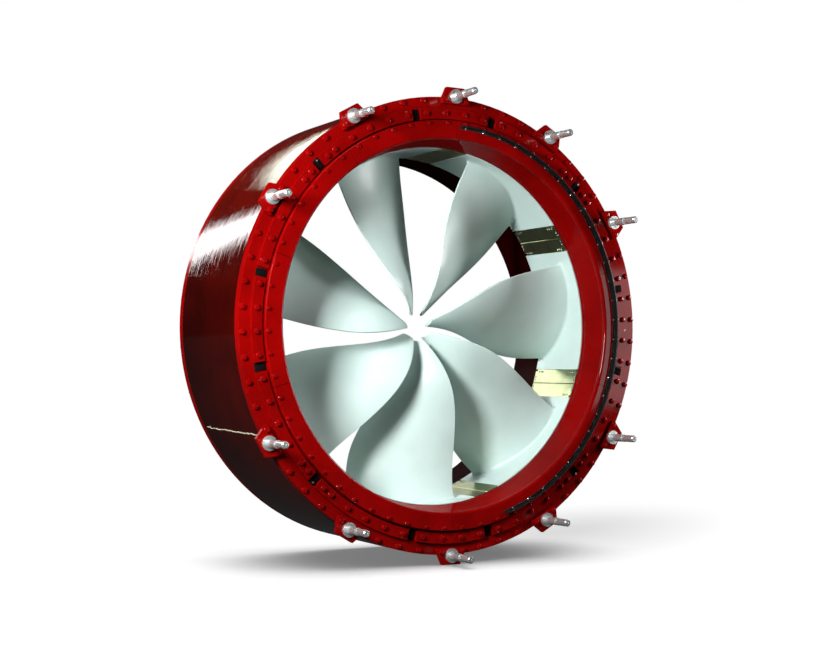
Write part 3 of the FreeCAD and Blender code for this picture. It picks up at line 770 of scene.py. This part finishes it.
# the model on both sides of each seam between two blade feet
def placeInPairs(model, name):
    spec = clampStrip
    mirror = Matrix.Scale(-1, 4, (0, 0, 1))
    copies = []
    for index in range(spec["count"]):
        middle = spec["first"] + index * fullTurn / spec["count"]
        copies.append(copyPiece(model, aboutAxis(middle + spec["half"])))
        other = copyPiece(model, aboutAxis(middle - spec["half"]) @ mirror)
        applyPlace(other)
        bpy.ops.object.mode_set(mode="EDIT")
        bpy.ops.mesh.select_all(action="SELECT")
        bpy.ops.mesh.normals_make_consistent(inside=False)
        bpy.ops.object.mode_set(mode="OBJECT")
        copies.append(other)
    bpy.data.objects.remove(model)
    return joinPieces(copies, name)


def makeClampStrips():
    strips = placeInPairs(modelClampStrip(), "bladeClampStrips")
    dress(strips, bronze, "rotor", "bronze", "blade_clamp_strips")
    screws = placeInPairs(modelStripScrews(), "clampStripScrews")
    dress(screws, coreSteel, "rotor", "stud_steel")


makeClampStrips()
print("clamp strips placed")


# joints, plugs and the bead on the shell

joint = {"lipRadius": 0.7671, "lipDepth": 0.0141, "tailRadius": 0.7516, "tailDepth": 0.124,
         "thick": 0.0009, "steps": 180, "sides": 6}
gapShadePad = {"inner": 0.8515, "outer": 0.8945, "thick": 0.003, "width": 0.031}
plugScrew = {
    "radius": 0.8885, "size": 0.0042, "sides": 18, "long": 0.003, "sunk": 0.0010, "rim": 0.4,
    "socket": 0.002, "turn": 0.1,
    "angles": (0, 15, -15, 45, -45, 75, -75, 105, 135, 165, 195, 225, 255),
}


def makeJointRing(name, radius, depth):
    bpy.ops.mesh.primitive_torus_add(
        major_segments=joint["steps"], minor_segments=joint["sides"], major_radius=radius,
        minor_radius=joint["thick"], location=(0, depth, 0), rotation=alongY)
    ring = bpy.context.active_object
    ring.name = name
    applyPlace(ring)
    pick(ring)
    bpy.ops.object.shade_smooth()
    dress(ring, blackRubber, "housing", "black_rubber")


# near-black matte plates on the floor of the gaps between the clamp segments: painted shade
def makeGapShadePads():
    spec = gapShadePad
    middle = (spec["inner"] + spec["outer"]) / 2
    pad = addBlock((middle, faceDepth["flange"] - spec["thick"] / 2, 0),
                   (spec["outer"] - spec["inner"], spec["thick"], spec["width"]))
    bevelEdges(pad, spec["thick"] / 3, 2)
    pads = placeRound(pad, "gapShadePads", [(angle, 0, 0, 0, False) for angle in clampGapCentres])
    smoothByAngle(pads)
    dress(pads, gapShadeBlack, "housing", "black_rubber")


# socket set screws in tapped holes of the clamp ring
def makePlugScrews():
    spec = plugScrew
    plug = addRod(spec["sides"], spec["size"], spec["long"], (0, spec["sunk"], 0))
    sinkSocket(plug, (0, -1, 0), spec["size"] * spec["rim"], spec["socket"])
    smoothByAngle(plug)
    places = [(angle, spec["radius"], faceDepth["clamp"], angle * spec["turn"], False)
              for angle in spec["angles"]]
    plugs = placeRound(plug, "plugScrews", places)
    dress(plugs, magnetAlloy, "housing", "magnet_alloy")


makeJointRing("lipJoint", joint["lipRadius"], joint["lipDepth"])
makeJointRing("nozzleJoint", joint["tailRadius"], joint["tailDepth"])
makeGapShadePads()
makePlugScrews()


shellBead = {"angle": 208.2, "drift": -0.8, "front": 0.072, "rear": 0.6, "radius": 0.0026,
             "points": 40, "shell": 0.9432, "waver": 0.0035, "waverSeed": 3}


# a thin, slightly wavy bead of sealant along the shell
def makeShellBead():
    spec = shellBead
    line = bpy.data.curves.new("beadLine", "CURVE")
    line.dimensions = "3D"
    spline = line.splines.new("NURBS")
    spline.points.add(spec["points"] - 1)
    waver = random.Random(spec["waverSeed"])
    for index, point in enumerate(spline.points):
        share = index / (spec["points"] - 1)
        angle = math.radians(spec["angle"] + spec["drift"] * share)
        angle += waver.uniform(-1, 1) * spec["waver"] / spec["shell"]
        depth = spec["front"] + (spec["rear"] - spec["front"]) * share
        point.co = (spec["shell"] * math.cos(angle), depth, spec["shell"] * math.sin(angle), 1)
    spline.order_u = 3
    spline.use_endpoint_u = True
    line.bevel_depth = spec["radius"]
    line.bevel_resolution = 2
    line.use_fill_caps = True
    bead = bpy.data.objects.new("shellBead", line)
    bpy.context.scene.collection.objects.link(bead)
    pick(bead)
    bpy.ops.object.convert(target="MESH")
    dress(bpy.context.active_object, sealant, "housing", "bearing_polymer")


makeShellBead()
print("joints and bead placed")


# junction box on the far side

junctionBox = {
    "edge": 0.003, "lidDrop": 0.003, "gasket": 0.0016, "gasketInset": 0.002, "gasketEdge": 0.0002,
    "gasketLap": 0.0004, "overlap": 0.0002,
}
lidScrew = {"sides": 20, "radius": 0.006, "head": 0.003, "inset": 0.014, "rim": 0.42,
            "socket": 0.002, "edge": 0.0005, "sharp": 50, "overlap": 0.0002}
glandNut = {"flats": 0.044, "thick": 0.012, "edge": 0.0016}


def boxPiece(name, low, high, edge):
    piece = addBlock((Vector(low) + Vector(high)) / 2, Vector(high) - Vector(low))
    piece.name = name
    bevelEdges(piece, edge, 3)
    smoothByAngle(piece)
    return piece


def makeJunctionLid():
    spec = junctionBox
    low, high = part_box("junction_box_cover")
    high.x -= spec["lidDrop"]
    lid = boxPiece("junctionLid", (low.x + spec["gasket"], low.y, low.z), high, spec["edge"])
    dress(lid, redPaint, "housing", "red_paint", "junction_box_cover")
    inset = spec["gasketInset"]
    gasket = boxPiece("lidGasket", (low.x - spec["overlap"], low.y + inset, low.z + inset),
                      (low.x + spec["gasket"] + spec["gasketLap"], high.y - inset, high.z - inset),
                      spec["gasketEdge"])
    dress(gasket, blackRubber, "housing", "black_rubber")
    makeLidScrews(low, high)


# eight socket heads round the edge of the lid
def makeLidScrews(low, high):
    spec = lidScrew
    rows = (low.y + spec["inset"], (low.y + high.y) / 2, high.y - spec["inset"])
    lines = (low.z + spec["inset"], (low.z + high.z) / 2, high.z - spec["inset"])
    seat = high.x + spec["head"] / 2 - spec["overlap"]
    screws = []
    for depth in rows:
        for across in lines:
            if depth == rows[1] and across == lines[1]:
                continue
            place = (seat, depth, across)
            screw = addRod(spec["sides"], spec["radius"], spec["head"], place, alongX)
            sinkSocket(screw, (1, 0, 0), spec["radius"] * spec["rim"], spec["socket"])
            screws.append(screw)
    heads = joinPieces(screws, "lidScrews")
    bevelEdges(heads, spec["edge"], 1, spec["sharp"])
    smoothByAngle(heads)
    dress(heads, turnedSteel, "housing", "stud_steel")


def makeGlandNuts():
    spec = glandNut
    low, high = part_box("cable_glands")
    reach = (high.x - low.x) / 2
    middle = (low.x + high.x) / 2
    seat = low.y + spec["thick"] / 2
    nuts = [addRod(hexSides, hexCorner(spec["flats"]), spec["thick"], (middle, seat, across))
            for across in (low.z + reach, 0.0, high.z - reach)]
    piece = joinPieces(nuts, "glandNuts")
    bevelEdges(piece, spec["edge"], 2)
    smoothByAngle(piece)
    dress(piece, turnedSteel, "housing", "stud_steel")


makeJunctionLid()
makeGlandNuts()
print("junction box finished")


# camera, at the photograph's angle

cameraSpec = {
    "place": (-2.998, -4.966, -0.196), "forward": (0.4915, 0.8705, 0.0268), "roll": 0.0102,
    "lens": 61.448, "sensor": 36.0,
}


def makeCamera():
    lens = bpy.data.cameras.new("camera")
    lens.lens = cameraSpec["lens"]
    lens.sensor_width = cameraSpec["sensor"]
    camera = bpy.data.objects.new("camera", lens)
    bpy.context.scene.collection.objects.link(camera)
    turn = Vector(cameraSpec["forward"]).to_track_quat("-Z", "Y").to_matrix().to_4x4()
    camera.matrix_world = (Matrix.Translation(cameraSpec["place"]) @ turn
                           @ Matrix.Rotation(cameraSpec["roll"], 4, "Z"))
    bpy.context.scene.camera = camera


# studio

studio = {
    "worldLight": 0.025, "worldShown": 1.0, "glossyShown": 0.012,
    "floorSize": 80, "floorDrop": 0.001, "floorColour": (0.60, 0.61, 0.61, 1),
    "floorGlow": 1.0, "floorMirrored": 0.03,
    # painted shade in the corner under the object
    "cornerShadeReach": 0.5, "cornerShadeDepth": 0.8, "cornerShadeDark": 0.3, "cornerShadeClear": 0.82,
    "shadowEnd": 2.2, "whiteFrom": 4.2,
    # a painted shadow, a soft ellipse on the floor to the right of the object
    "paintedShadowPlace": (1.2, 0.86, 0), "paintedShadowTurn": 0.62, "paintedShadowReach": (1.9, 0.75, 1),
    "paintedShadowCore": 0.1, "paintedShadowDepth": 0.3,
}


# "spares" names the pieces that a lamp leaves unlit, "lights" the only ones that it reaches,
# and a matte lamp isn't mirrored by anything
rimSpares = ("floor", "front_flange") + tuple(name for name in nodes
                                              if name.startswith("mounting_lug"))
lamps = {
    "leftKey": {"place": (-2.6, -1.25, 0.75), "target": (0, 0.1, 0), "size": (0.7, 1.0),
                "power": 158, "spares": ("housing_shell", "floor")},
    "rightKey": {"place": (2.35, -0.8, 0.5), "target": (0, 0, 0), "size": (0.5, 0.9),
                 "power": 46, "spares": ("floor",)},
    "frontFill": {"place": (-1.2, -4.2, 3.6), "target": (0, 0, 0), "size": (2.8, 1.0),
                  "power": 6},
    "topFill": {"place": (-1.5, 0.0, 4.4), "target": (0, 0.2, 0), "size": (2.0, 2.0),
                "power": 8},
    "sheenBox": {"place": (2.95, -2.45, 0.05), "target": (0.93, 0, 0), "size": (0.8, 0.9),
                 "power": 9, "spares": ("floor",)},
    "backBox": {"place": (-1.1, 2.2, 3.4), "target": (-0.7, 0.3, 0.5), "size": (1.0, 1.0),
                "power": 95, "spares": ("floor",), "matte": True},
    "shellWash": {"place": (-1.1, 2.2, 3.4), "target": (-0.7, 0.3, 0.5), "size": (1.0, 1.0),
                  "power": 320, "lights": ("housing_shell",), "matte": True},
    "backCard": {"place": (0.2, 4.1, 1.2), "target": (0, 0.3, 0), "size": (4.0, 0.6),
                 "power": 13, "spares": ("floor",)},
    "leftWash": {"place": (-1.5, -0.3, -0.25), "target": (-0.94, 0.2, -0.3),
                 "size": (0.25, 0.9), "power": 5, "lights": ("housing_shell",), "matte": True},
    "studGleam": {"place": (-1.9, -2.6, 1.5), "target": (0.2, -0.05, 0), "size": (0.9, 0.9),
                  "power": 36, "lights": ("mounting_studs",)},
    "rimWide": {"place": (-0.15, 4.34, 2.60), "target": (-0.69, 0.15, 0.62),
                "size": (1.9, 0.17), "power": 6, "colour": (0.88, 1, 0.84), "spares": rimSpares},
    "rimThin": {"place": (-1.76, 4.45, 1.70), "target": (-0.89, 0.35, 0.31),
                "size": (0.34, 1.5), "power": 16, "spares": rimSpares},
}


def makeLamp(name, spec, pieces):
    lamp = bpy.data.lights.new(name, "AREA")
    lamp.shape = "RECTANGLE"
    lamp.size, lamp.size_y = spec["size"]
    lamp.energy = spec["power"]
    lamp.color = spec.get("colour", (1, 1, 1))
    holder = bpy.data.objects.new(name, lamp)
    bpy.context.scene.collection.objects.link(holder)
    aim = Vector(spec["target"]) - Vector(spec["place"])
    turn = aim.to_track_quat("-Z", "Y").to_matrix().to_4x4()
    holder.matrix_world = Matrix.Translation(spec["place"]) @ turn
    holder.visible_glossy = not spec.get("matte", False)
    for key, state in (("spares", "EXCLUDE"), ("lights", "INCLUDE")):
        if key not in spec:
            continue
        group = bpy.data.collections.new(name + "Pieces")
        for label in spec[key]:
            group.objects.link(pieces[label])
        holder.light_linking.receiver_collection = group
        for entry in group.collection_objects:
            entry.light_linking.link_state = state


def makeWorld():
    world = bpy.data.worlds.new("studio")
    bpy.context.scene.world = world
    world.use_nodes = True
    tree = world.node_tree
    background = tree.nodes["Background"]
    background.inputs["Color"].default_value = (1, 1, 1, 1)
    path = addNode(tree, "ShaderNodeLightPath")
    shown = addMath(tree, "MULTIPLY", path.outputs["Is Camera Ray"],
                    studio["worldShown"] - studio["worldLight"])
    mirrored = addMath(tree, "MAXIMUM", path.outputs["Is Glossy Ray"],
                       path.outputs["Is Transmission Ray"])
    mirrored = addMath(tree, "MULTIPLY", mirrored, studio["glossyShown"] - studio["worldLight"])
    strength = addMath(tree, "ADD", addMath(tree, "ADD", shown, mirrored), studio["worldLight"])
    tree.links.new(strength, background.inputs["Strength"])


# pale floor with painted shade in the corner under the object and a painted soft shadow on its
# right, that fades to plain white further off
def makeFloor():
    bpy.ops.mesh.primitive_plane_add(size=studio["floorSize"],
                                     location=(0, 0, cadBox[0][2] - studio["floorDrop"]))
    floor = bpy.context.active_object
    floor.name = "floor"
    material, tree, shader = newMaterial("floorWhite")
    setShader(shader, Base_Color=studio["floorColour"], Roughness=0.9, Specular_IOR_Level=0.1)
    path = addNode(tree, "ShaderNodeLightPath")
    # painted shade: the floor's glow darkens where the object hangs close above it
    corner = addNode(tree, "ShaderNodeAmbientOcclusion", samples=8)
    corner.inputs["Distance"].default_value = studio["cornerShadeReach"]
    near = addRange(tree, corner.outputs["AO"], studio["cornerShadeDark"], studio["cornerShadeClear"],
                    1.0 - studio["cornerShadeDepth"], 1.0)
    points = objectPoints(tree)
    # painted shadow: a soft ellipse of darker glow, fixed on the floor to the right of the object
    cast = addNode(tree, "ShaderNodeMapping", vector_type="TEXTURE")
    cast.inputs["Location"].default_value = studio["paintedShadowPlace"]
    cast.inputs["Rotation"].default_value = (0, 0, studio["paintedShadowTurn"])
    cast.inputs["Scale"].default_value = studio["paintedShadowReach"]
    tree.links.new(points, cast.inputs["Vector"])
    spread = addNode(tree, "ShaderNodeVectorMath", operation="LENGTH")
    tree.links.new(cast.outputs["Vector"], spread.inputs[0])
    shadow = addRange(tree, spread.outputs["Value"], studio["paintedShadowCore"], 1.0,
                      1.0 - studio["paintedShadowDepth"], 1.0)
    near = addMath(tree, "MULTIPLY", near, shadow)
    glow = addMath(tree, "MULTIPLY", path.outputs["Is Camera Ray"], near)
    glow = addMath(tree, "MULTIPLY", glow, studio["floorGlow"])
    tree.links.new(glow, shader.inputs["Emission Strength"])
    setShader(shader, Emission_Color=(1, 1, 1, 1))
    plain = addNode(tree, "ShaderNodeEmission")
    mirrored = addMath(tree, "MULTIPLY", path.outputs["Is Glossy Ray"], studio["floorMirrored"])
    strength = addMath(tree, "ADD", path.outputs["Is Camera Ray"], mirrored)
    tree.links.new(strength, plain.inputs["Strength"])
    distance = addNode(tree, "ShaderNodeVectorMath", operation="LENGTH")
    tree.links.new(points, distance.inputs[0])
    far = addRange(tree, distance.outputs["Value"], studio["shadowEnd"], studio["whiteFrom"],
                   0.0, 1.0)
    far = addMath(tree, "MAXIMUM", far, path.outputs["Is Glossy Ray"])
    blend = addNode(tree, "ShaderNodeMixShader")
    tree.links.new(far, blend.inputs["Fac"])
    tree.links.new(shader.outputs["BSDF"], blend.inputs[1])
    tree.links.new(plain.outputs["Emission"], blend.inputs[2])
    tree.links.new(blend.outputs["Shader"], tree.nodes["Material Output"].inputs["Surface"])
    setMaterial(floor, material)
    return floor


makeCamera()
makeWorld()
lampPieces = dict(nodes, floor=makeFloor())
for name, spec in lamps.items():
    makeLamp(name, spec, lampPieces)
bpy.context.scene.view_settings.view_transform = "Standard"
print("studio ready")
